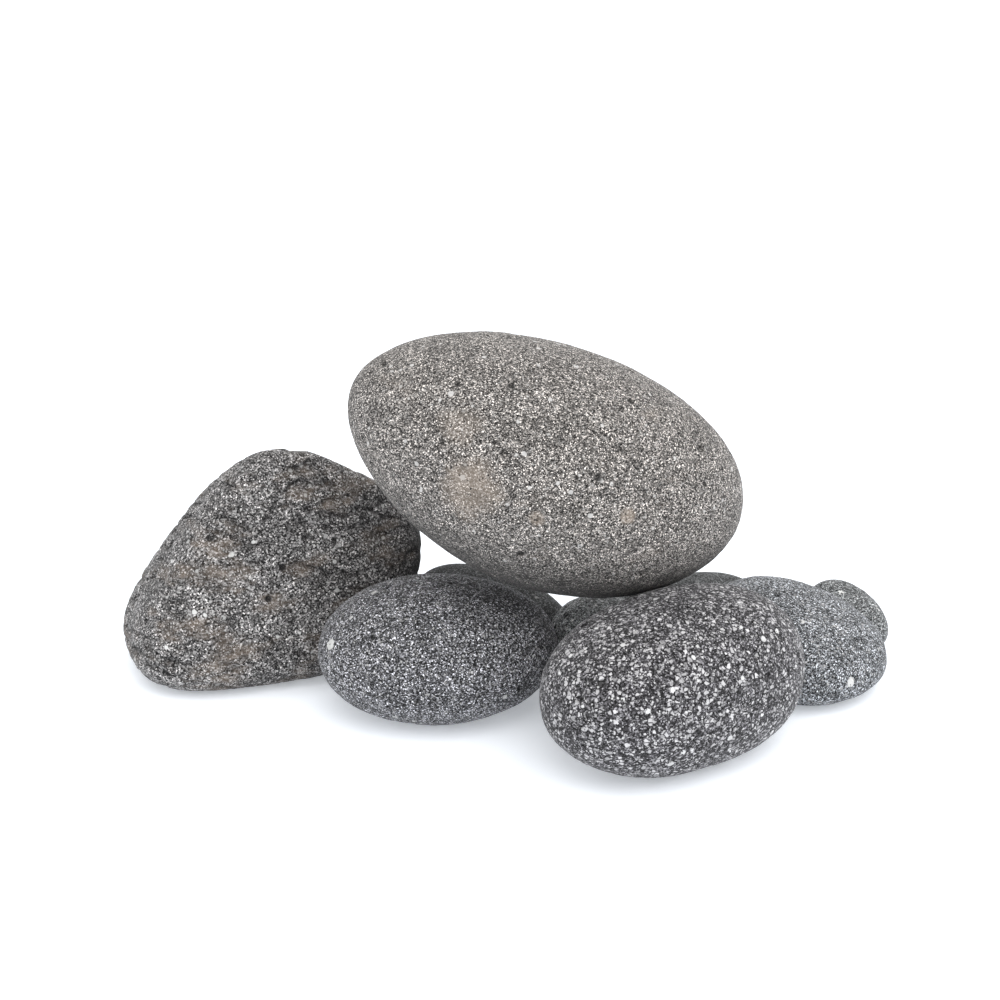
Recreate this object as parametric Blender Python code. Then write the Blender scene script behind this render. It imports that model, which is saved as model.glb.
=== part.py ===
"""A set of nine tumbled basalt massage stones, piled loose on a table.

Run with: blender --background --python part.py
Units are metres, +Z is up, and the front of the pile faces -Y.

Each stone is a rounded block held in a cage: it has a length, a width and a thickness, and its top may be shorter,
narrower, lower at one end or set to one side. A stone that lies on the table has a worn flat underneath. The stones
are laid down one after another. Each slides in over the table until it meets one that is already there, and the
largest comes straight down onto the pile. So a stone of another size moves its neighbours and cuts into none.
"""

import math
from dataclasses import dataclass

import bmesh
import bpy
from mathutils import Matrix, Vector, noise
from mathutils.bvhtree import BVHTree

MM = 0.001
GAP = 0.3 * MM  # clear distance between two stones that lie against each other
FAR = 300 * MM  # a stone starts this far out before it slides in
HALVINGS = 18  # steps in which the way in is narrowed down to where the stone stops
LUMP_SPREAD = 26 * MM  # distance over which the hand feels one swelling
WORN = 1.5 * MM  # taken off the underside, which leaves the flat that the stone lies on
FINE, COARSE = 4, 3  # icosphere subdivisions of a large stone and of a small one


@dataclass
class Stone:
    """One stone. Its cage's +X end is its nose. Lengths are in metres, angles in degrees."""

    name: str
    length: float
    width: float
    thickness: float
    colour: tuple
    square: float = 2.2  # 2 is an ellipsoid, and more fills the cage's corners
    nose: float = 0.0  # share by which the nose is slimmer than the middle
    slope: float = 0.0  # share by which the top falls towards the nose
    crown: float = 0.0  # share by which the top is shorter than the bottom
    ridge: float = 0.0  # share by which the top is narrower than the bottom
    lean: float = 0.0  # how far the top is set towards the nose, as a share of half the length
    lump: float = 0.6 * MM  # height of the swellings
    seed: float = 0.0  # picks other swellings
    facets: int = FINE
    heading: float = 0.0  # turn on the table
    bearing: float = 0.0  # side that it slides in from, anticlockwise from +X
    aside: float = 0.0  # how far its way in passes to the left of the centre stone, seen from there


CENTRE = Stone("centre_stone", 41 * MM, 31 * MM, 27.5 * MM, (0.085, 0.088, 0.095),
               heading=-78, seed=1.7, facets=COARSE)

# In the order in which they are laid round the centre stone.
TABLE_STONES = [
    Stone("front_right_stone", 78 * MM, 49.5 * MM, 47 * MM, (0.120, 0.117, 0.118), square=2.3,
          nose=0.03, slope=-0.09, lean=-0.12, heading=33, bearing=-64, seed=4.1),
    Stone("front_centre_stone", 67 * MM, 51 * MM, 39.5 * MM, (0.105, 0.108, 0.115), square=2.06,
          heading=7.5, bearing=180, aside=13.5 * MM, seed=7.3),
    Stone("rear_left_stone", 49 * MM, 32 * MM, 23.5 * MM, (0.098, 0.094, 0.086),
          nose=0.09, slope=0.13, heading=-15, bearing=140, seed=9.9, facets=COARSE),
    Stone("right_stone", 53 * MM, 49.5 * MM, 27 * MM, (0.125, 0.127, 0.130), square=2.45,
          slope=0.11, lean=-0.2, ridge=0.18, heading=-41, bearing=3, seed=15.8),
    Stone("rear_middle_stone", 58 * MM, 31.5 * MM, 17.5 * MM, (0.090, 0.094, 0.100), square=2.1,
          nose=-0.07, slope=-0.12, heading=5, bearing=94, aside=-23.7 * MM, seed=12.2, facets=COARSE),
    Stone("rear_right_stone", 30 * MM, 18 * MM, 17 * MM, (0.130, 0.132, 0.126),
          nose=0.04, slope=0.1, heading=-58, bearing=59, aside=-48 * MM, seed=18.5, facets=COARSE),
    Stone("left_boulder", 91 * MM, 68.5 * MM, 59 * MM, (0.100, 0.095, 0.090), square=3.2, nose=0.04,
          slope=0.22, crown=0.4, lean=0.73, ridge=0.79, heading=17.5, bearing=180, aside=-17.5 * MM, seed=21.4),
]

TOP = Stone("top_stone", 106 * MM, 75 * MM, 68.5 * MM, (0.150, 0.145, 0.138), square=1.92, nose=-0.025,
            slope=-0.08, crown=-0.12, lean=0.17, lump=0.8 * MM, seed=24.6)
TOP_PLACE = Vector((-22 * MM, -8 * MM, FAR))  # where its middle hangs, from the centre stone's, before it comes down
TOP_TILT = 30.0  # turn about +Y, which lowers its nose


def clear_scene():
    for thing in list(bpy.data.objects):
        bpy.data.objects.remove(thing)


def rounded(direction, exponent):
    """The point that lies in this direction on a rounded cube between -1 and 1."""
    reach = sum(abs(part) ** exponent for part in direction) ** (1 / exponent)
    return direction / reach


def caged(point, stone):
    """Carries a point of the rounded cube into the stone's cage."""
    up = (point.z + 1) / 2
    slim = 1 - stone.nose * point.x
    along = point.x * (1 - stone.crown * up) + stone.lean * up
    across = point.y * slim * (1 - stone.ridge * up)
    high = 2 * up * slim * (1 - stone.slope * point.x) - 1
    return Vector((along * stone.length / 2, across * stone.width / 2, high * stone.thickness / 2))


def swelling(direction, point, stone):
    """How far the surface stands out or in here, in metres."""
    place = point / LUMP_SPREAD + Vector((stone.seed, -stone.seed, 2 * stone.seed))
    return direction * (stone.lump * noise.noise(place))


def wear_flat(solid):
    """Cuts the underside off level and closes the cut."""
    lowest = min(corner.co.z for corner in solid.verts)
    cut = bmesh.ops.bisect_plane(
        solid,
        geom=solid.verts[:] + solid.edges[:] + solid.faces[:],
        dist=0.02 * MM,
        plane_co=(0, 0, lowest + WORN),
        plane_no=(0, 0, 1),
        clear_inner=True,
    )
    rim = [piece for piece in cut["geom_cut"] if isinstance(piece, bmesh.types.BMEdge)]
    bmesh.ops.contextual_create(solid, geom=rim)


def stone_mesh(stone, lies_flat=True):
    """The stone round its own middle."""
    solid = bmesh.new()
    bmesh.ops.create_icosphere(solid, subdivisions=stone.facets, radius=1)
    for corner in solid.verts:
        direction = corner.co.normalized()
        point = caged(rounded(direction, stone.square), stone)
        corner.co = point + swelling(direction, point, stone)
    if lies_flat:
        wear_flat(solid)
    bmesh.ops.recalc_face_normals(solid, faces=solid.faces)
    mesh = bpy.data.meshes.new(stone.name)
    solid.to_mesh(mesh)
    solid.free()
    mesh.shade_smooth()
    mesh.set_sharp_from_angle(angle=math.radians(30))
    mesh.materials.append(basalt(stone))
    return mesh


def basalt(stone):
    material = bpy.data.materials.new(stone.name + "_basalt")
    material.use_nodes = True
    shader = material.node_tree.nodes["Principled BSDF"]
    shader.inputs["Base Color"].default_value = (*stone.colour, 1)
    shader.inputs["Roughness"].default_value = 0.85
    shader.inputs["Metallic"].default_value = 0.0
    return material


def surface(mesh, matrix, swell=0.0):
    """A search tree of the placed mesh, with its points moved out by swell."""
    points = [matrix @ (corner.co + corner.normal * swell) for corner in mesh.vertices]
    return BVHTree.FromPolygons(points, [tuple(face.vertices) for face in mesh.polygons])


def slid_in(mesh, turned, start, way, laid):
    """Where the mesh stops on its way from start: its gap to a stone that is already laid is then used up."""
    free, blocked = 0.0, FAR
    for _ in range(HALVINGS):
        tried = (free + blocked) / 2
        moved = surface(mesh, Matrix.Translation(start + way * tried) @ turned, GAP)
        if any(moved.overlap(other) for other in laid):
            blocked = tried
        else:
            free = tried
    return Matrix.Translation(start + way * free) @ turned


def turned_on_table(stone, mesh):
    """The stone's heading, and the height of its middle when its flat is on the table."""
    height = -min(corner.co.z for corner in mesh.vertices)
    return Matrix.Rotation(math.radians(stone.heading), 4, "Z"), height


def placed_on_table(stone, mesh, laid):
    turned, height = turned_on_table(stone, mesh)
    angle = math.radians(stone.bearing)
    outwards = Vector((math.cos(angle), math.sin(angle), 0))
    left = Vector((-outwards.y, outwards.x, 0))
    start = outwards * FAR + left * stone.aside + Vector((0, 0, height))
    return slid_in(mesh, turned, start, -outwards, laid)


def placed_on_top(mesh, laid):
    tilted = Matrix.Rotation(math.radians(TOP_TILT), 4, "Y")
    return slid_in(mesh, tilted, TOP_PLACE, Vector((0, 0, -1)), laid)


def lay_the_pile():
    """[(mesh, matrix)] of every stone, with the centre stone over the origin."""
    mesh = stone_mesh(CENTRE)
    turned, height = turned_on_table(CENTRE, mesh)
    pile = [(mesh, Matrix.Translation((0, 0, height)) @ turned)]
    laid = [surface(*pile[0])]
    for stone in TABLE_STONES:
        mesh = stone_mesh(stone)
        pile.append((mesh, placed_on_table(stone, mesh, laid)))
        laid.append(surface(*pile[-1]))
    mesh = stone_mesh(TOP, lies_flat=False)
    pile.append((mesh, placed_on_top(mesh, laid)))
    return pile


def middle_of(pile):
    """The middle of the pile's box, on the table."""
    points = [matrix @ corner.co for mesh, matrix in pile for corner in mesh.vertices]
    xs = [point.x for point in points]
    ys = [point.y for point in points]
    return Vector(((min(xs) + max(xs)) / 2, (min(ys) + max(ys)) / 2, 0))


def main():
    clear_scene()
    set_of_stones = bpy.data.collections.new("basalt_massage_stones")
    bpy.context.scene.collection.children.link(set_of_stones)
    pile = lay_the_pile()
    to_origin = Matrix.Translation(-middle_of(pile))
    for mesh, matrix in pile:
        stone = bpy.data.objects.new(mesh.name, mesh)
        stone.matrix_world = to_origin @ matrix
        set_of_stones.objects.link(stone)


main()
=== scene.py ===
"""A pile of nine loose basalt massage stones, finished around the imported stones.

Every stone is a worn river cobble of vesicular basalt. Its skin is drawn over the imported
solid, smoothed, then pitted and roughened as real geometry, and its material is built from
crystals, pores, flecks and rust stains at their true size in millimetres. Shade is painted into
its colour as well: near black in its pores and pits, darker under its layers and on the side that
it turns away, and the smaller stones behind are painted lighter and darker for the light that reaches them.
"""

import math

import bmesh
import bpy
from bpy.props import FloatProperty, FloatVectorProperty, IntProperty, PointerProperty
from bpy.types import Operator, Panel, PropertyGroup
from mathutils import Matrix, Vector
from mathutils.bvhtree import BVHTree


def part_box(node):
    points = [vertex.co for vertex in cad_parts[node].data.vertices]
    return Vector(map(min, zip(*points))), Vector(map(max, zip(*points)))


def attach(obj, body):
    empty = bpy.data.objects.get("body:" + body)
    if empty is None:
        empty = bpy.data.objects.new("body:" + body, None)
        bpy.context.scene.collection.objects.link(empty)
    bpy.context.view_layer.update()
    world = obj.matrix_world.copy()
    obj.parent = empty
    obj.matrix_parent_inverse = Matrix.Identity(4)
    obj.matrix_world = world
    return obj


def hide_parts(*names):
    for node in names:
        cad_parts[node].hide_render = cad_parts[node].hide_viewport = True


bl_info = {
    "name": "Basalt Massage Stones",
    "version": (1, 0, 0),
    "blender": (4, 5, 0),
    "location": "View3D > Sidebar > Stones",
    "description": "Finishes a pile of loose basalt massage stones and lights it",
    "category": "Object",
}

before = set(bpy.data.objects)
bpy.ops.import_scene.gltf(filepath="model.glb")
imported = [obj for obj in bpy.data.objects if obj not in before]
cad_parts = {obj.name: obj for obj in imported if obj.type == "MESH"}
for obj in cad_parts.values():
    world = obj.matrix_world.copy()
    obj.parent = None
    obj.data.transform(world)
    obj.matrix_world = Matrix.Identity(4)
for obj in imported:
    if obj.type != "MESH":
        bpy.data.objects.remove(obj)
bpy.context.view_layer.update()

MM = 0.001
PER_METRE = 1000.0

# The skin of a stone: squares along a side of each of its six panels, then halvings of each square.
FINE_SQUARES = 32
SMALL_SQUARES = 24
HALVINGS = 2
SMOOTHINGS = 9
HALF_PANEL = math.pi / 4.0  # seen from the middle of the stone, a panel spans a right angle
CLEAR = 10.0 * MM  # a look at the front of a stone starts this far before it

# The flat layout of the panels, and the margin round each as a share of a panel.
CHART_COLUMNS, CHART_ROWS = 3, 2
CHART_MARGIN = 0.004


# ----------------------------------------------------------------------------------- settings


def shade(name, description, colour):
    """A colour that the user can change."""
    return FloatVectorProperty(
        name=name,
        description=description,
        default=colour,
        subtype="COLOR",
        size=3,
        min=0.0,
        max=1.0,
    )


def width(name, description, millimetres):
    """A small length that the user can change, given in millimetres and kept in metres."""
    return FloatProperty(
        name=name,
        description=description,
        default=millimetres * MM,
        min=0.0,
        precision=5,
        subtype="DISTANCE",
        unit="LENGTH",
    )


def share(name, description, fraction):
    """A fraction that the user can change."""
    return FloatProperty(
        name=name,
        description=description,
        default=fraction,
        min=0.0,
        max=2.0,
        subtype="FACTOR",
    )


class StoneLook:
    """What the finish of every stone is made of."""

    ground: shade("Ground", "Colour of the fine ground between the crystals", (0.100, 0.099, 0.100))
    pale: shade("Pale crystals", "Colour of the larger pale crystals", (0.46, 0.455, 0.45))
    white: shade("Flecks", "Colour of the rare white flecks", (0.58, 0.58, 0.57))
    stain: shade("Stain", "Colour of the weathered patches", (0.165, 0.128, 0.096))
    grit: width("Grit", "Width of the finest crystals", 0.3)
    grit_contrast: share("Grit contrast", "How far the finest crystals differ", 1.0)
    grain: width("Grain", "Spacing of the larger pale crystals", 0.8)
    grain_share: share("Grain share", "Part of the larger crystals that is pale", 0.16)
    fleck: width("Fleck", "Spacing of the rare white flecks", 6.0)
    fleck_share: share("Fleck share", "Part of those places that holds a white fleck", 0.2)
    pore: width("Pore", "Spacing of the dark pores", 0.8)
    pore_share: share("Pore share", "Part of those places that is an open pore", 0.2)
    cloud: width("Cloud", "Width of the darker clouds", 6.0)
    cloud_depth: share("Cloud depth", "How dark the clouds are", 0.5)
    stain_share: share("Stain share", "How much of the stone is weathered", 0.0)
    # Painted shade: the side that faces the shade side is painted darker, by up to the shade depth, for the
    # shade that falls on it.
    shade_depth: share("Shade depth", "How dark the sheltered side is", 0.45)
    shade_side: FloatVectorProperty(
        name="Shade side",
        description="Way that the sheltered side faces",
        default=(0.0, 0.0, -1.0),
        subtype="DIRECTION",
        size=3,
    )
    pit: width("Pit", "Spacing of the larger pits", 4.6)
    pit_depth: width("Pit depth", "Depth of the deepest pits", 0.8)
    rough_depth: width("Roughness depth", "Height of the worn roughness", 0.25)
    ledge_depth: width("Ledge depth", "Height of the broken layers", 0.0)
    dust: share("Dust", "Pale dust that shows on the turning edges", 0.06)
    seed: IntProperty(name="Seed", description="Which pattern the stone has", default=1, min=0)


class TopStoneLook(StoneLook, PropertyGroup):
    """The large warm gray stone that lies across the pile."""

    ground: shade("Ground", "Colour of the fine ground between the crystals", (0.158, 0.147, 0.138))
    pale: shade("Pale crystals", "Colour of the larger pale crystals", (0.40, 0.39, 0.38))
    white: shade("Flecks", "Colour of the rare white flecks", (0.50, 0.49, 0.48))
    grit: width("Grit", "Width of the finest crystals", 0.27)
    grain: width("Grain", "Spacing of the larger pale crystals", 0.58)
    grain_share: share("Grain share", "Part of the larger crystals that is pale", 0.18)
    fleck: width("Fleck", "Spacing of the rare white flecks", 2.8)
    fleck_share: share("Fleck share", "Part of those places that holds a white fleck", 0.5)
    pore: width("Pore", "Spacing of the dark pores", 0.75)
    pore_share: share("Pore share", "Part of those places that is an open pore", 0.38)
    stain: shade("Stain", "Colour of the weathered patches", (0.285, 0.235, 0.190))
    stain_share: share("Stain share", "How much of the stone is weathered", 0.35)
    # Painted shade on the underside, which the stones below keep in shade.
    shade_depth: share("Shade depth", "How dark the sheltered side is", 0.9)
    seed: IntProperty(name="Seed", description="Which pattern the stone has", default=3, min=0)


class BoulderLook(StoneLook, PropertyGroup):
    """The rough layered boulder at the left."""

    ground: shade("Ground", "Colour of the fine ground between the crystals", (0.138, 0.133, 0.132))
    grit: width("Grit", "Width of the finest crystals", 0.36)
    grain: width("Grain", "Spacing of the larger pale crystals", 0.85)
    grain_share: share("Grain share", "Part of the larger crystals that is pale", 0.22)
    cloud: width("Cloud", "Width of the darker clouds", 5.0)
    cloud_depth: share("Cloud depth", "How dark the clouds are", 0.9)
    fleck: width("Fleck", "Spacing of the rare white flecks", 2.6)
    fleck_share: share("Fleck share", "Part of those places that holds a white fleck", 0.5)
    stain: shade("Stain", "Colour of the weathered patches", (0.190, 0.150, 0.118))
    stain_share: share("Stain share", "How much of the stone is weathered", 0.9)
    # Painted shade on the right flank, which lies in the shadow of the top stone.
    shade_depth: share("Shade depth", "How dark the sheltered side is", 1.0)
    shade_side: FloatVectorProperty(
        name="Shade side",
        description="Way that the sheltered side faces",
        default=(0.94, 0.0, -0.34),
        subtype="DIRECTION",
        size=3,
    )
    pit_depth: width("Pit depth", "Depth of the deepest pits", 1.0)
    rough_depth: width("Roughness depth", "Height of the worn roughness", 0.6)
    ledge_depth: width("Ledge depth", "Height of the broken layers", 0.9)
    seed: IntProperty(name="Seed", description="Which pattern the stone has", default=11, min=0)


class FrontCentreLook(StoneLook, PropertyGroup):
    """The dark, evenly pored stone at the front."""

    ground: shade("Ground", "Colour of the fine ground between the crystals", (0.097, 0.097, 0.104))
    grit_contrast: share("Grit contrast", "How far the finest crystals differ", 1.25)
    grain: width("Grain", "Spacing of the larger pale crystals", 0.62)
    grain_share: share("Grain share", "Part of the larger crystals that is pale", 0.2)
    pore: width("Pore", "Spacing of the dark pores", 0.95)
    pore_share: share("Pore share", "Part of those places that is an open pore", 0.4)
    shade_depth: share("Shade depth", "How dark the sheltered side is", 0.0)
    seed: IntProperty(name="Seed", description="Which pattern the stone has", default=23, min=0)


class FrontRightLook(StoneLook, PropertyGroup):
    """The dark stone with coarse pale crystals at the front right."""

    ground: shade("Ground", "Colour of the fine ground between the crystals", (0.060, 0.058, 0.062))
    pale: shade("Pale crystals", "Colour of the larger pale crystals", (0.66, 0.65, 0.66))
    white: shade("Flecks", "Colour of the rare white flecks", (0.70, 0.70, 0.70))
    grit: width("Grit", "Width of the finest crystals", 0.36)
    grain: width("Grain", "Spacing of the larger pale crystals", 1.15)
    grain_share: share("Grain share", "Part of the larger crystals that is pale", 0.42)
    fleck: width("Fleck", "Spacing of the rare white flecks", 3.2)
    fleck_share: share("Fleck share", "Part of those places that holds a white fleck", 0.4)
    pore_share: share("Pore share", "Part of those places that is an open pore", 0.3)
    shade_depth: share("Shade depth", "How dark the sheltered side is", 0.0)
    seed: IntProperty(name="Seed", description="Which pattern the stone has", default=37, min=0)


class RightLook(StoneLook, PropertyGroup):
    """The bluish gray stone at the right."""

    ground: shade("Ground", "Colour of the fine ground between the crystals", (0.148, 0.154, 0.164))
    shade_depth: share("Shade depth", "How dark the sheltered side is", 0.1)
    seed: IntProperty(name="Seed", description="Which pattern the stone has", default=41, min=0)


class RearLook(StoneLook, PropertyGroup):
    """The smaller, smoother stones behind."""

    ground: shade("Ground", "Colour of the fine ground between the crystals", (0.112, 0.116, 0.118))
    grit_contrast: share("Grit contrast", "How far the finest crystals differ", 0.8)
    grain_share: share("Grain share", "Part of the larger crystals that is pale", 0.06)
    rough_depth: width("Roughness depth", "Height of the worn roughness", 0.15)
    seed: IntProperty(name="Seed", description="Which pattern the stone has", default=53, min=0)


class StageLook(PropertyGroup):
    """The floor, the light around the pile and the camera."""

    floor: shade("Floor", "Colour of the pale floor", (0.86, 0.89, 0.93))
    sky: shade("Room", "Colour of the light from all round", (1.0, 1.0, 1.0))
    sky_strength: FloatProperty(
        name="Room light", description="Strength of the light from all round", default=1.2, min=0.0
    )
    floor_glow: FloatProperty(
        name="Floor glow", description="Light that the floor gives from below", default=0.34, min=0.0
    )
    box_power: FloatProperty(
        name="Soft box", description="Power of the soft box above", default=8.5, min=0.0, unit="POWER"
    )
    lens: FloatProperty(
        name="Lens",
        description="Focal length of the camera",
        default=85.0,
        min=1.0,
        subtype="DISTANCE_CAMERA",
        unit="CAMERA",
    )
    eye_height: FloatProperty(
        name="Eye height",
        description="Height of the camera above the floor",
        default=0.305,
        subtype="DISTANCE",
        unit="LENGTH",
    )
    eye_back: FloatProperty(
        name="Eye distance",
        description="Distance of the camera in front of the pile's middle",
        default=0.6025,
        subtype="DISTANCE",
        unit="LENGTH",
    )
    eye_pitch: FloatProperty(
        name="Eye pitch",
        description="How far the camera looks down",
        default=math.radians(22.0),
        subtype="ANGLE",
        unit="ROTATION",
    )


# --------------------------------------------------------------------------------- node maths


class Field:
    """A number, colour or vector that varies over a stone: one output of a node."""

    def __init__(self, board, socket):
        self.board = board
        self.socket = socket

    def maths(self, operation, *others):
        """A Math node whose first value is this field."""
        return self.board.add("ShaderNodeMath", {"operation": operation}, dict(enumerate((self, *others))))

    def maths_after(self, first, operation):
        """A Math node whose second value is this field."""
        return self.board.add("ShaderNodeMath", {"operation": operation}, {0: first, 1: self})

    def __add__(self, other):
        return self.maths("ADD", other)

    def __radd__(self, other):
        return self.maths("ADD", other)

    def __mul__(self, other):
        return self.maths("MULTIPLY", other)

    def __rmul__(self, other):
        return self.maths("MULTIPLY", other)

    def __sub__(self, other):
        return self.maths("SUBTRACT", other)

    def __rsub__(self, other):
        return self.maths_after(other, "SUBTRACT")

    def __truediv__(self, other):
        return self.maths("DIVIDE", other)

    def __rtruediv__(self, other):
        return self.maths_after(other, "DIVIDE")

    def __lt__(self, other):
        return self.maths("LESS_THAN", other)

    def __gt__(self, other):
        return self.maths("GREATER_THAN", other)

    def capped(self, most):
        """This field, nowhere above most."""
        return self.maths("MINIMUM", most)

    def or_more(self, other):
        """The greater of this field and another field or number."""
        return self.maths("MAXIMUM", other)

    def steps(self):
        """What is left of the number after its whole part."""
        return self.maths("FRACT")

    def between(self, low, high):
        """0 where the field is low and 1 where it is high, with a soft turn at both."""
        return self.board.add(
            "ShaderNodeMapRange",
            {"interpolation_type": "SMOOTHSTEP"},
            {"Value": self, "From Min": low, "From Max": high},
        )


# A Mix node has a set of sockets for each kind of value. These are the ones for colours.
MIX_FACTOR, MIX_UNDER, MIX_OVER = 0, 6, 7
MIX_COLOUR = 2


class Board:
    """A node tree, with one way to add a node to it."""

    def __init__(self, tree):
        self.tree = tree
        tree.nodes.clear()

    def add(self, kind, settings, sockets, output=0):
        """Adds a node, makes its settings, fills its sockets and returns one of its outputs."""
        node = self.tree.nodes.new(kind)
        for name, value in settings.items():
            if name == "stops":
                self.set_stops(node.color_ramp, value)
            else:
                setattr(node, name, value)
        for name, value in sockets.items():
            self.fill(node.inputs[name], value)
        if not node.outputs:
            return None
        return Field(self, node.outputs[output])

    def fill(self, socket, value):
        """Links a field to a socket, or sets the socket's own value."""
        if isinstance(value, Field):
            self.tree.links.new(value.socket, socket)
        elif isinstance(value, (int, float)):
            socket.default_value = value
        else:
            filled = list(value)
            if socket.type == "RGBA" and len(filled) == 3:
                filled.append(1.0)
            socket.default_value = filled

    def set_stops(self, ramp, stops):
        """Gives a ramp its stops, each a place and a gray level."""
        while len(ramp.elements) > 1:
            ramp.elements.remove(ramp.elements[-1])
        ramp.elements[0].position = stops[0][0]
        for place, _ in stops[1:]:
            ramp.elements.new(place)
        for element, (_, level) in zip(ramp.elements, stops):
            element.color = (level, level, level, 1.0)

    def vectors(self, operation, first, second, output="Vector"):
        """A Vector Math node on two vectors, each a field or three numbers."""
        return self.add("ShaderNodeVectorMath", {"operation": operation}, {0: first, 1: second}, output)

    def scaled(self, vector, amount):
        """A vector field multiplied by a number or a field."""
        return self.add("ShaderNodeVectorMath", {"operation": "SCALE"}, {0: vector, "Scale": amount})

    def parts(self, vector):
        """The three numbers of a vector field."""
        return [self.add("ShaderNodeSeparateXYZ", {}, {"Vector": vector}, axis) for axis in range(3)]

    def joined(self, x, y, z):
        """A vector field from three number fields."""
        return self.add("ShaderNodeCombineXYZ", {}, {"X": x, "Y": y, "Z": z})

    def noise(self, place, size, detail, roughness=0.5):
        """Soft noise from 0 to 1, with swells of about the given size in the unit of the place."""
        sockets = {"Vector": place, "Scale": 1.0 / size, "Detail": detail, "Roughness": roughness}
        return self.add("ShaderNodeTexNoise", {}, sockets, "Fac")

    def cells(self, place, spacing):
        """Scattered points: how far the nearest is, as a share of the spacing, and its three chances."""
        sockets = {"Vector": place, "Scale": 1.0 / spacing}
        distance = self.add("ShaderNodeTexVoronoi", {}, sockets, "Distance")
        chances = Field(self, distance.socket.node.outputs["Color"])
        return distance, self.parts(chances)

    def rims(self, place, spacing):
        """How far the border between two such points is, as a share of the spacing."""
        settings = {"feature": "DISTANCE_TO_EDGE"}
        return self.add("ShaderNodeTexVoronoi", settings, {"Vector": place, "Scale": 1.0 / spacing})

    def blend(self, amount, under, over, mode="MIX"):
        """Two colours mixed by a field or a number."""
        settings = {"data_type": "RGBA", "blend_type": mode}
        sockets = {MIX_FACTOR: amount, MIX_UNDER: under, MIX_OVER: over}
        return self.add("ShaderNodeMix", settings, sockets, MIX_COLOUR)


# ---------------------------------------------------------------------------- pits and layers


# Shifts in millimetres that keep patterns of one kind from falling on each other.
SEED_STEP = (17.3, 5.9, 29.1)
FINE_GRAIN_SHIFT = (9.0, 4.0, 2.0)
PORE_SHIFT = (3.0, 7.0, 5.0)
STAIN_SHIFT = (40.0, 0.0, 11.0)

# Pits. Radii are shares of the spacing: the least, and what the largest has on top of it.
PIT_LEAST, PIT_MORE = 0.08, 0.3
PIT_WALL = 0.6  # share of the radius over which a pit falls to its bottom
PIT_SHARE = 0.6  # part of the places that has a pit

# Broken layers. Lengths are in millimetres.
LAYERS_PER_MM = (0.04, 0.03, 0.19)  # along x, y and z, so the layers lie a little tilted
WANDER_SIZE = 16.0
WANDER_LAYERS = 3.4  # number of layers over which the wandering carries a point
LEDGE_START = 0.45  # share of a layer from which it falls towards its edge
WEAR_SIZE = 11.0
WEAR_FROM, WEAR_TO = 0.42, 0.62  # the layers are worn away below the first, and whole above the second


def stone_place(board, position, look):
    """A point of the stone in millimetres, shifted so that each stone has its own pattern."""
    in_mm = board.scaled(position, PER_METRE)
    return board.vectors("ADD", in_mm, [step * look.seed for step in SEED_STEP])


def pit_field(board, place, look):
    """Larger pits: 1 at the bottom of a pit and 0 outside."""
    distance, (chance, size, _) = board.cells(place, look.pit * PER_METRE)
    radius = (size * size * size * PIT_MORE) + PIT_LEAST
    return (1.0 - (distance / radius)).between(0.0, PIT_WALL) * (chance < PIT_SHARE)


def ledge_field(board, place, look):
    """Broken layers that follow the bedding, from 0 on a layer to 1 just under its edge."""
    x, y, z = board.parts(place)
    along_x, along_y, along_z = LAYERS_PER_MM
    wander = board.noise(place, WANDER_SIZE, detail=3.0)
    layer = (z * along_z) + (x * along_x) + (y * along_y) + (wander * WANDER_LAYERS)
    whole = board.noise(place, WEAR_SIZE, detail=1.0).between(WEAR_FROM, WEAR_TO)
    return layer.steps().between(LEDGE_START, 1.0) * whole


# ------------------------------------------------------------------------------- stone relief


# Worn roughness and broad swells, in millimetres.
ROUGH_SIZE = 3.2
ROUGH_GAIN = 1.6  # soft noise keeps near its middle, and this brings the roughness nearer to its height
SWELL_SIZE = 15.0
SWELL_HEIGHT = 0.9
MEAN_RISE = 0.08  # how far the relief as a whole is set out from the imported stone
MOST_RISE = 0.14  # how far any of it may stand out


def carve(skin, look):
    """Gives the skin its pits, layers and roughness as geometry, nowhere below the table."""
    tree = bpy.data.node_groups.new(skin.name + "_relief", "GeometryNodeTree")
    tree.interface.new_socket("Stone", in_out="INPUT", socket_type="NodeSocketGeometry")
    tree.interface.new_socket("Stone", in_out="OUTPUT", socket_type="NodeSocketGeometry")
    board = Board(tree)
    stone = board.add("NodeGroupInput", {}, {})
    position = board.add("GeometryNodeInputPosition", {}, {})
    normal = board.add("GeometryNodeInputNormal", {}, {})
    place = stone_place(board, position, look)

    rough = board.noise(place, ROUGH_SIZE, detail=4.0, roughness=0.62) - 0.5
    swell = board.noise(place, SWELL_SIZE, detail=1.0) - 0.5
    height = (rough * (look.rough_depth * PER_METRE * ROUGH_GAIN)) + (swell * SWELL_HEIGHT)
    height = height - (pit_field(board, place, look) * (look.pit_depth * PER_METRE))
    if look.ledge_depth > 0.0:
        height = height - (ledge_field(board, place, look) * (look.ledge_depth * PER_METRE))
    rise = (height + MEAN_RISE).capped(MOST_RISE) * MM

    offset = board.scaled(normal, rise)
    cut = board.add("GeometryNodeSetPosition", {}, {"Geometry": stone, "Offset": offset})
    x, y, z = board.parts(board.add("GeometryNodeInputPosition", {}, {}))
    above = board.joined(x, y, z.or_more(0.0))
    rested = board.add("GeometryNodeSetPosition", {}, {"Geometry": cut, "Position": above})
    board.add("NodeGroupOutput", {}, {0: rested})

    skin.modifiers.new("relief", "NODES").node_group = tree
    shaped = skin.evaluated_get(bpy.context.evaluated_depsgraph_get())
    mesh = bpy.data.meshes.new_from_object(shaped)
    skin.modifiers.clear()
    skin.data = mesh
    bpy.data.node_groups.remove(tree)


# ----------------------------------------------------------------------------- stone material


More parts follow.
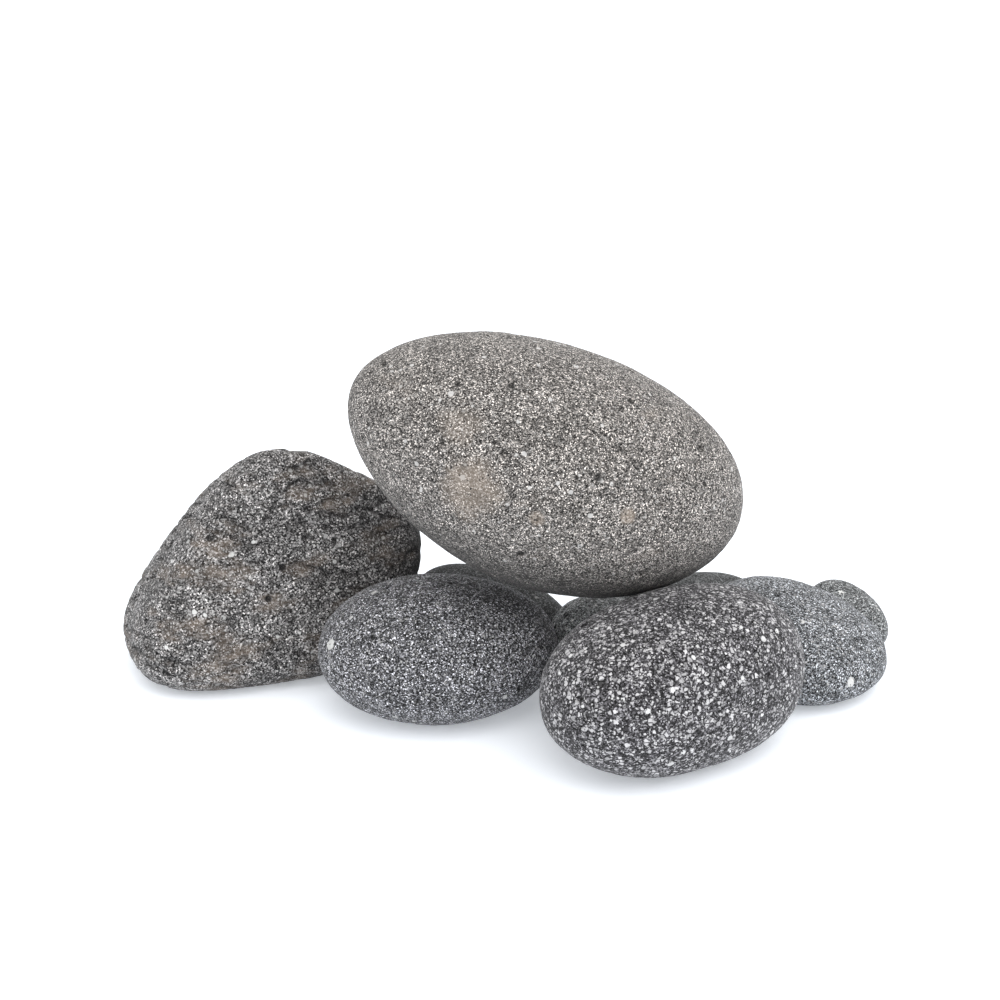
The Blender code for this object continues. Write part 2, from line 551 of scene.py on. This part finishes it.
# How light the finest crystals are against the ground: the part of them that is darker, and the tone.
GRIT_TONES = (
    (0.0, 0.02),
    (0.2, 0.09),
    (0.42, 0.5),
    (0.66, 1.0),
    (0.84, 2.0),
    (0.95, 4.2),
    (1.0, 7.0),
)
# The ramp of tones runs from 0 to 1. So every tone and colour is divided by this, which is above the
# lightest tone at the greatest contrast in use, and the stone's lightness, painted shade included, is
# multiplied by it at the end.
LIGHTEST = 12.0

# Pale crystals, in shares of their spacing.
RIM_LEAST, RIM_MORE = 0.02, 0.24  # ground left free round the largest, and what the smallest adds to it
CRYSTAL_EDGE = 0.07  # width of the soft edge
DULLEST = 0.25  # tone of the dullest crystal, where the palest has 1
FINE_GRAINS = 0.52  # spacing of the smaller pale crystals, as a share of that of the larger ones
FINE_GRAIN_SHARE = 0.7  # how many of the smaller ones are pale, as a share of the larger ones

# White flecks. Radii are shares of the spacing.
FLECK_LEAST, FLECK_MORE = 0.09, 0.24
FLECK_EDGE = 0.75  # share of the radius up to which a fleck is full
FLECK_RAG = 0.3  # how far the rag moves the edge, as a share of the spacing
FLECK_RAG_SIZE = 0.9  # millimetres

# Open pores. Radii are shares of the spacing.
PORE_LEAST, PORE_MORE = 0.16, 0.4
PORE_WALL = 0.5  # share of the radius over which a pore falls to its bottom

# Scattered stains. They are drawn out along the bedding and lie where soft noise is high.
STAIN_STRETCH = (0.8, 0.8, 2.0)
STAIN_SIZE = 14.0  # millimetres
STAIN_START = 0.64  # noise at which a stain begins on a fresh stone
STAIN_SPREAD = 0.18  # how much earlier it begins on a weathered one
STAIN_SOFTNESS = 0.22  # how much more noise a stain needs to be full

# Single stains at chosen spots. All but the size of the rag are shares of the patch's radius.
PATCH_RAG = 1.1
PATCH_RAG_SIZE = 5.0  # millimetres
PATCH_FULL, PATCH_END = 0.45, 1.2

# Lightness of the stone's colour: its clouds, and painted shade under its layers and on its sheltered side.
CLOUD_FROM, CLOUD_TO = 0.36, 0.62  # noise at which a cloud is at its darkest and at its lightest
CLOUD_DARKER, CLOUD_LIGHTER = 0.4, 0.1  # how far the deepest clouds take the light down, and up beside them
PAINTED_LEDGE_SHADE = 0.5  # painted shade: light lost under the edge of a layer, painted into the colour
PAINTED_SHADE_START = 0.2  # how far the surface has turned to the shade side, as a cosine, when the painted shade begins

# How far each finish covers what is under it. In the pores and pits that finish is painted shade.
CRYSTAL_COVER = 0.9
STAIN_COVER = 0.6
PORE_COVER = 0.95
PIT_COVER = 0.85
PAINTED_HOLLOW_TONE = 0.06  # painted shade: tone at the bottom of a pore or pit, against the ground

# The finest relief, which only the light shows, and the dullness of the surface.
BUMP_HEIGHT = 0.25 * MM
BUMP_STRENGTH = 0.7
GRAIN_HEIGHT, GRIT_HEIGHT, PORE_DEPTH = 0.35, 0.3, 0.9
GROUND_ROUGHNESS = 0.86
GRAIN_SMOOTHER, PORE_ROUGHER = 0.22, 0.12
GLINT = 0.2  # how far the dull surface mirrors
DUST_ROUGHNESS = 0.6


def grit_field(board, place, look):
    """The finest crystals: each one's chance, and from it how light it is on the scale of LIGHTEST."""
    _, (level, _, _) = board.cells(place, look.grit * PER_METRE)
    stops = [(part, tone**look.grit_contrast / LIGHTEST) for part, tone in GRIT_TONES]
    return level, board.add("ShaderNodeValToRGB", {"stops": stops}, {"Fac": level})


def crystals(board, place, spacing, part):
    """Angular pale crystals of mixed size and tone: from 0 on the ground to 1 on the palest."""
    _, (chance, size, tone) = board.cells(place, spacing)
    rim = board.rims(place, spacing)
    free = (size * RIM_MORE) + RIM_LEAST
    brightness = (tone * (1.0 - DULLEST)) + DULLEST
    return (rim - free).between(0.0, CRYSTAL_EDGE) * (chance < part) * brightness


def grain_field(board, place, look):
    """The larger pale crystals and the smaller ones strewn between them."""
    spacing = look.grain * PER_METRE
    coarse = crystals(board, place, spacing, look.grain_share)
    shifted = board.vectors("ADD", place, FINE_GRAIN_SHIFT)
    fine = crystals(board, shifted, spacing * FINE_GRAINS, look.grain_share * FINE_GRAIN_SHARE)
    return coarse.or_more(fine)


def fleck_field(board, place, look):
    """Rare white flecks with ragged edges."""
    distance, (chance, size, _) = board.cells(place, look.fleck * PER_METRE)
    ragged = (board.noise(place, FLECK_RAG_SIZE, detail=3.0, roughness=0.65) - 0.5) * FLECK_RAG
    radius = (size * size * size * FLECK_MORE) + FLECK_LEAST
    inside = 1.0 - ((distance + ragged) / radius).between(FLECK_EDGE, 1.0)
    return inside * (chance < look.fleck_share)


def pore_field(board, place, look):
    """Open pores: 1 at the bottom of a pore and 0 outside."""
    shifted = board.vectors("ADD", place, PORE_SHIFT)
    distance, (chance, size, _) = board.cells(shifted, look.pore * PER_METRE)
    radius = (size * size * PORE_MORE) + PORE_LEAST
    return (1.0 - (distance / radius)).between(0.0, PORE_WALL) * (chance < look.pore_share)


def stain_field(board, position, place, look, spots):
    """Weathered patches: scattered ones along the bedding, and one at each of the given spots."""
    bedded = board.vectors("MULTIPLY", board.vectors("ADD", place, STAIN_SHIFT), STAIN_STRETCH)
    scattered = board.noise(bedded, STAIN_SIZE, detail=4.0, roughness=0.65)
    low = STAIN_START - STAIN_SPREAD * look.stain_share
    stained = scattered.between(low, low + STAIN_SOFTNESS) * min(1.0, look.stain_share)
    for spot, radius, strength in spots:
        away = board.vectors("DISTANCE", position, spot, "Value")
        rag = board.noise(place, PATCH_RAG_SIZE, detail=3.0, roughness=0.6) - 0.5
        outside = (away + (rag * radius * PATCH_RAG)).between(radius * PATCH_FULL, radius * PATCH_END)
        stained = stained.or_more((1.0 - outside) * strength)
    return stained


def painted_side_shade(board, look):
    """Painted shade on the side that the stone turns away: 1 in the open, less in shelter, where the colour
    is painted darker for the shade that falls there.
    """
    normal = board.add("ShaderNodeTexCoord", {}, {}, "Normal")
    turned = board.vectors("DOT_PRODUCT", normal, look.shade_side, "Value")
    return 1.0 - (turned.between(PAINTED_SHADE_START, 1.0) * look.shade_depth)


def lightness_with_painted_shade(board, place, look, tone):
    """How light the stone's colour is as a whole: its tone, its clouds, and painted shade on its sheltered
    side and under its layers.
    """
    broad = board.noise(place, look.cloud * PER_METRE, detail=4.0, roughness=0.62)
    span = (CLOUD_DARKER + CLOUD_LIGHTER) * look.cloud_depth
    cloud = broad.between(CLOUD_FROM, CLOUD_TO) * span + (1.0 - CLOUD_DARKER * look.cloud_depth)
    # Painted shade on the sheltered side. The tone of a rear stone holds painted light and shade as well.
    light = cloud * painted_side_shade(board, look) * (LIGHTEST * tone)
    # Painted shade under the edge of each broken layer.
    if look.ledge_depth > 0.0:
        light = light * (1.0 - (ledge_field(board, place, look) * PAINTED_LEDGE_SHADE))
    return board.joined(light, light, light)


def dimmed(colour, tone=1.0):
    """A colour on the scale of LIGHTEST, and darker where a tone is given."""
    return tuple(tone * part / LIGHTEST for part in colour)


def basalt(name, look, spots, tone):
    """Basalt with fine grit, pale crystals, white flecks, open pores and rust stains, and painted shade in
    its pores and pits, under its layers and on its sheltered side.
    """
    material = bpy.data.materials.new(name)
    material.use_nodes = True
    board = Board(material.node_tree)
    position = board.add("ShaderNodeTexCoord", {}, {}, "Object")
    place = stone_place(board, position, look)

    level, grit = grit_field(board, place, look)
    grains = grain_field(board, place, look)
    flecks = fleck_field(board, place, look)
    stained = stain_field(board, position, place, look, spots)
    pores = pore_field(board, place, look)
    # Painted shade: the bottoms of the pores and pits are painted nearly black, as the shade inside them.
    hollow_shade_mask = (pores * PORE_COVER).or_more(pit_field(board, place, look) * PIT_COVER)

    colour = board.blend(1.0, look.ground, grit, "MULTIPLY")
    colour = board.blend(grains * CRYSTAL_COVER, colour, dimmed(look.pale))
    colour = board.blend(flecks * CRYSTAL_COVER, colour, dimmed(look.white))
    colour = board.blend(stained * STAIN_COVER, colour, dimmed(look.stain))
    # The painted shade of the pores and pits goes into the colour here.
    colour = board.blend(hollow_shade_mask, colour, dimmed(look.ground, PAINTED_HOLLOW_TONE))
    # The painted shade of the sheltered side and the layers is multiplied into the colour here.
    colour = board.blend(1.0, colour, lightness_with_painted_shade(board, place, look, tone), "MULTIPLY")

    height = (grains * GRAIN_HEIGHT) + (level * GRIT_HEIGHT) - (pores * PORE_DEPTH)
    relief = {"Strength": BUMP_STRENGTH, "Distance": BUMP_HEIGHT, "Height": height}
    skin = board.add(
        "ShaderNodeBsdfPrincipled",
        {},
        {
            "Base Color": colour,
            "Roughness": (pores * PORE_ROUGHER) + (GROUND_ROUGHNESS - (grains * GRAIN_SMOOTHER)),
            "Normal": board.add("ShaderNodeBump", {}, relief),
            "Specular IOR Level": GLINT,
            "Sheen Weight": look.dust,
            "Sheen Roughness": DUST_ROUGHNESS,
        },
    )
    board.add("ShaderNodeOutputMaterial", {}, {"Surface": skin})
    return material


# --------------------------------------------------------------------------------- stone skin


def chart_place(panel, across, along):
    """Where a point between -1 and 1 on one of the six panels lies on the flat layout."""
    row, column = divmod(panel, CHART_COLUMNS)
    inner = 1.0 - 2.0 * CHART_MARGIN
    u = (column + CHART_MARGIN + inner * (across + 1.0) / 2.0) / CHART_COLUMNS
    v = (row + CHART_MARGIN + inner * (along + 1.0) / 2.0) / CHART_ROWS
    return u, v


def lay_charts(mesh):
    """Lays the six panels of a cube's grid side by side as its flat layout."""
    layout = mesh.loops.layers.uv.new("OFBake")
    for face in mesh.faces:
        middle = face.calc_center_median()
        axis = max(range(3), key=lambda i: abs(middle[i]))
        panel = axis if middle[axis] > 0.0 else axis + 3
        first, second = [i for i in range(3) if i != axis]
        for corner in face.loops:
            place = corner.vert.co
            corner[layout].uv = chart_place(panel, place[first], place[second])


def draw_skin(node, squares):
    """A fine even skin drawn over a packed stone, and the solid that it was drawn over."""
    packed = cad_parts[node]
    solid = BVHTree.FromPolygons(
        [vertex.co for vertex in packed.data.vertices],
        [tuple(polygon.vertices) for polygon in packed.data.polygons],
    )
    low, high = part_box(node)
    middle = (low + high) / 2.0

    mesh = bmesh.new()
    bmesh.ops.create_cube(mesh, size=2.0)
    bmesh.ops.subdivide_edges(mesh, edges=mesh.edges[:], cuts=squares - 1, use_grid_fill=True)
    lay_charts(mesh)
    for vertex in mesh.verts:
        way = Vector([math.tan(part * HALF_PANEL) for part in vertex.co])
        hit = solid.ray_cast(middle, way.normalized())[0]
        if hit is None:
            raise RuntimeError(f"{node}: the packed stone is open towards {tuple(way)}")
        vertex.co = hit
    smooth_skin(mesh)
    for face in mesh.faces:
        face.smooth = True

    data = bpy.data.meshes.new(node + "_skin")
    mesh.to_mesh(data)
    mesh.free()
    skin = bpy.data.objects.new(node + "_skin", data)
    bpy.context.scene.collection.objects.link(skin)
    halving = skin.modifiers.new("halving", "SUBSURF")
    halving.levels = HALVINGS
    halving.render_levels = HALVINGS
    return skin, solid


def averaged(mesh, places):
    """The given places of the skin's points, each drawn towards those next to it."""
    for vertex, place in zip(mesh.verts, places):
        vertex.co = place
    for _ in range(SMOOTHINGS):
        bmesh.ops.smooth_vert(
            mesh, verts=mesh.verts[:], factor=0.5, use_axis_x=True, use_axis_y=True, use_axis_z=True
        )
    return [vertex.co.copy() for vertex in mesh.verts]


def smooth_skin(mesh):
    """Rounds off the facets, and gives back what the rounding took from the stone's size."""
    drawn = [vertex.co.copy() for vertex in mesh.verts]
    rounded = averaged(mesh, drawn)
    lost = averaged(mesh, [before - after for before, after in zip(drawn, rounded)])
    for vertex, place, loss in zip(mesh.verts, rounded, lost):
        vertex.co = place + loss


def facing_spot(node, solid, across, up):
    """The point on the front of a stone at a share of its width and of its height."""
    low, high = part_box(node)
    x = low.x + (high.x - low.x) * across
    z = low.z + (high.z - low.z) * up
    start = Vector((x, low.y - CLEAR, z))
    hit = solid.ray_cast(start, Vector((0.0, 1.0, 0.0)))[0]
    if hit is None:
        raise RuntimeError(f"{node}: nothing faces the front at {across}, {up}")
    return hit


def finish_stone(node, look, squares=FINE_SQUARES, patches=(), tone=1.0):
    """Makes the skin of one stone, carves it, gives it its basalt and sets it on its body."""
    skin, solid = draw_skin(node, squares)
    carve(skin, look)
    spots = [
        (facing_spot(node, solid, across, up), radius, strength)
        for across, up, radius, strength in patches
    ]
    skin.data.materials.clear()
    skin.data.materials.append(basalt(node + "_basalt", look, spots, tone))
    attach(skin, node)
    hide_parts(node)


# -------------------------------------------------------------------------------------- stage


# The floor. Lengths are in metres.
FLOOR_REACH = 4.0
FLOOR_DROP = 0.05 * MM  # the floor lies this far under the stones
MOTTLE_SIZE = 0.02
FLOOR_ROUGHNESS, MOTTLE_ROUGHER = 0.6, 0.1
FLOOR_GLINT = 0.1

# The soft box, in metres.
BOX_SIZE = (1.4, 1.0)
BOX_PLACE = Vector((0.3, -0.55, 1.0))
BOX_AIM = Vector((0.0, 0.0, 0.03))

EYE_ASIDE = -2.2 * MM
SENSOR_WIDTH = 36.0  # millimetres, as the lens
NEAREST = 0.01  # metres from the camera to what it still draws


def lay_floor(look):
    """A wide pale floor just under the stones."""
    mesh = bmesh.new()
    bmesh.ops.create_grid(mesh, x_segments=8, y_segments=8, size=FLOOR_REACH)
    bmesh.ops.translate(mesh, vec=(0.0, 0.0, -FLOOR_DROP), verts=mesh.verts[:])
    data = bpy.data.meshes.new("floor")
    mesh.to_mesh(data)
    mesh.free()
    floor = bpy.data.objects.new("floor", data)
    bpy.context.scene.collection.objects.link(floor)

    material = bpy.data.materials.new("white_board")
    material.use_nodes = True
    board = Board(material.node_tree)
    position = board.add("ShaderNodeTexCoord", {}, {}, "Object")
    mottle = board.noise(position, MOTTLE_SIZE, detail=3.0)
    paint = board.add(
        "ShaderNodeBsdfPrincipled",
        {},
        {
            "Base Color": look.floor,
            "Roughness": (mottle * MOTTLE_ROUGHER) + FLOOR_ROUGHNESS,
            "Specular IOR Level": FLOOR_GLINT,
            "Emission Color": look.floor,
            "Emission Strength": look.floor_glow,
        },
    )
    board.add("ShaderNodeOutputMaterial", {}, {"Surface": paint})
    data.materials.append(material)


def light_room(scene, look):
    """Even white light from all round, and a wide soft box above and before the pile."""
    world = bpy.data.worlds.new("studio")
    world.use_nodes = True
    board = Board(world.node_tree)
    glow = board.add("ShaderNodeBackground", {}, {"Color": look.sky, "Strength": look.sky_strength})
    board.add("ShaderNodeOutputWorld", {}, {"Surface": glow})
    scene.world = world

    lamp = bpy.data.lights.new("soft_box", "AREA")
    lamp.shape = "RECTANGLE"
    lamp.size, lamp.size_y = BOX_SIZE
    lamp.energy = look.box_power
    box = bpy.data.objects.new("soft_box", lamp)
    scene.collection.objects.link(box)
    box.location = BOX_PLACE
    box.rotation_euler = (BOX_AIM - BOX_PLACE).to_track_quat("-Z", "Y").to_euler()

    scene.view_settings.view_transform = "Standard"
    scene.view_settings.look = "None"
    scene.view_settings.exposure = 0.0
    scene.view_settings.gamma = 1.0


def place_camera(scene, look):
    """A camera in front of the pile that looks down on it."""
    lens = bpy.data.cameras.new("camera")
    lens.lens = look.lens
    lens.sensor_width = SENSOR_WIDTH
    lens.clip_start = NEAREST
    camera = bpy.data.objects.new("camera", lens)
    scene.collection.objects.link(camera)
    camera.location = (EYE_ASIDE, -look.eye_back, look.eye_height)
    camera.rotation_euler = (math.pi / 2.0 - look.eye_pitch, 0.0, 0.0)
    scene.camera = camera


# ---------------------------------------------------------------------------------- operators


# Stains on the front of the top stone: share of its width, share of its height, radius and strength.
TOP_PATCHES = (
    (0.31, 0.59, 9.0 * MM, 0.75),
    (0.29, 0.80, 6.0 * MM, 0.4),
    (0.47, 0.49, 2.2 * MM, 0.9),
    (0.69, 0.48, 2.2 * MM, 0.9),
)

# How light each of the smaller stones is against their common ground: partly its own tone, and partly
# painted light and shade, the centre stone that the top stone shades painted lighter, the rear left one
# that lies in shade painted darker.
REAR_TONES_WITH_PAINTED_LIGHT = {
    "centre_stone": 2.0,
    "rear_left_stone": 0.48,
    "rear_middle_stone": 0.62,
    "rear_right_stone": 1.45,
}


class STONES_OT_top(Operator):
    """Finish the large stone that lies across the pile"""

    bl_idname = "stones.top"
    bl_label = "Top Stone"

    def execute(self, context):
        finish_stone("top_stone", context.scene.stones_top, patches=TOP_PATCHES)
        return {"FINISHED"}


class STONES_OT_boulder(Operator):
    """Finish the rough layered boulder at the left"""

    bl_idname = "stones.boulder"
    bl_label = "Left Boulder"

    def execute(self, context):
        finish_stone("left_boulder", context.scene.stones_boulder)
        return {"FINISHED"}


class STONES_OT_front(Operator):
    """Finish the two dark stones at the front"""

    bl_idname = "stones.front"
    bl_label = "Front Stones"

    def execute(self, context):
        finish_stone("front_centre_stone", context.scene.stones_front_centre)
        finish_stone("front_right_stone", context.scene.stones_front_right)
        return {"FINISHED"}


class STONES_OT_right(Operator):
    """Finish the bluish stone at the right"""

    bl_idname = "stones.right"
    bl_label = "Right Stone"

    def execute(self, context):
        finish_stone("right_stone", context.scene.stones_right)
        return {"FINISHED"}


class STONES_OT_rear(Operator):
    """Finish the four smaller stones in the middle and behind"""

    bl_idname = "stones.rear"
    bl_label = "Rear Stones"

    def execute(self, context):
        look = context.scene.stones_rear
        first_seed = look.seed
        for node, tone in REAR_TONES_WITH_PAINTED_LIGHT.items():
            finish_stone(node, look, SMALL_SQUARES, tone=tone)
            look.seed += 1
        look.seed = first_seed
        return {"FINISHED"}


class STONES_OT_stage(Operator):
    """Lay the floor, set the soft studio light and place the camera"""

    bl_idname = "stones.stage"
    bl_label = "Stage"

    def execute(self, context):
        look = context.scene.stones_stage
        lay_floor(look)
        light_room(context.scene, look)
        place_camera(context.scene, look)
        return {"FINISHED"}


class STONES_PT_pile(Panel):
    """The steps that finish the pile"""

    bl_idname = "STONES_PT_pile"
    bl_label = "Basalt Massage Stones"
    bl_space_type = "VIEW_3D"
    bl_region_type = "UI"
    bl_category = "Stones"

    def draw(self, context):
        for step in STEPS:
            self.layout.operator(step.bl_idname)


LOOKS = {
    "stones_top": TopStoneLook,
    "stones_boulder": BoulderLook,
    "stones_front_centre": FrontCentreLook,
    "stones_front_right": FrontRightLook,
    "stones_right": RightLook,
    "stones_rear": RearLook,
    "stones_stage": StageLook,
}
STEPS = (
    STONES_OT_stage,
    STONES_OT_top,
    STONES_OT_boulder,
    STONES_OT_front,
    STONES_OT_right,
    STONES_OT_rear,
)


def register():
    """Registers the settings, the steps and the panel."""
    for name, look in LOOKS.items():
        bpy.utils.register_class(look)
        setattr(bpy.types.Scene, name, PointerProperty(type=look))
    for step in STEPS:
        bpy.utils.register_class(step)
    bpy.utils.register_class(STONES_PT_pile)


def unregister():
    """Takes the panel, the steps and the settings away again."""
    bpy.utils.unregister_class(STONES_PT_pile)
    for step in reversed(STEPS):
        bpy.utils.unregister_class(step)
    for name, look in reversed(LOOKS.items()):
        delattr(bpy.types.Scene, name)
        bpy.utils.unregister_class(look)


def main():
    """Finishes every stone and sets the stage."""
    register()
    bpy.ops.stones.stage()
    bpy.ops.stones.top()
    bpy.ops.stones.boulder()
    bpy.ops.stones.front()
    bpy.ops.stones.right()
    bpy.ops.stones.rear()


if __name__ == "__main__":
    main()
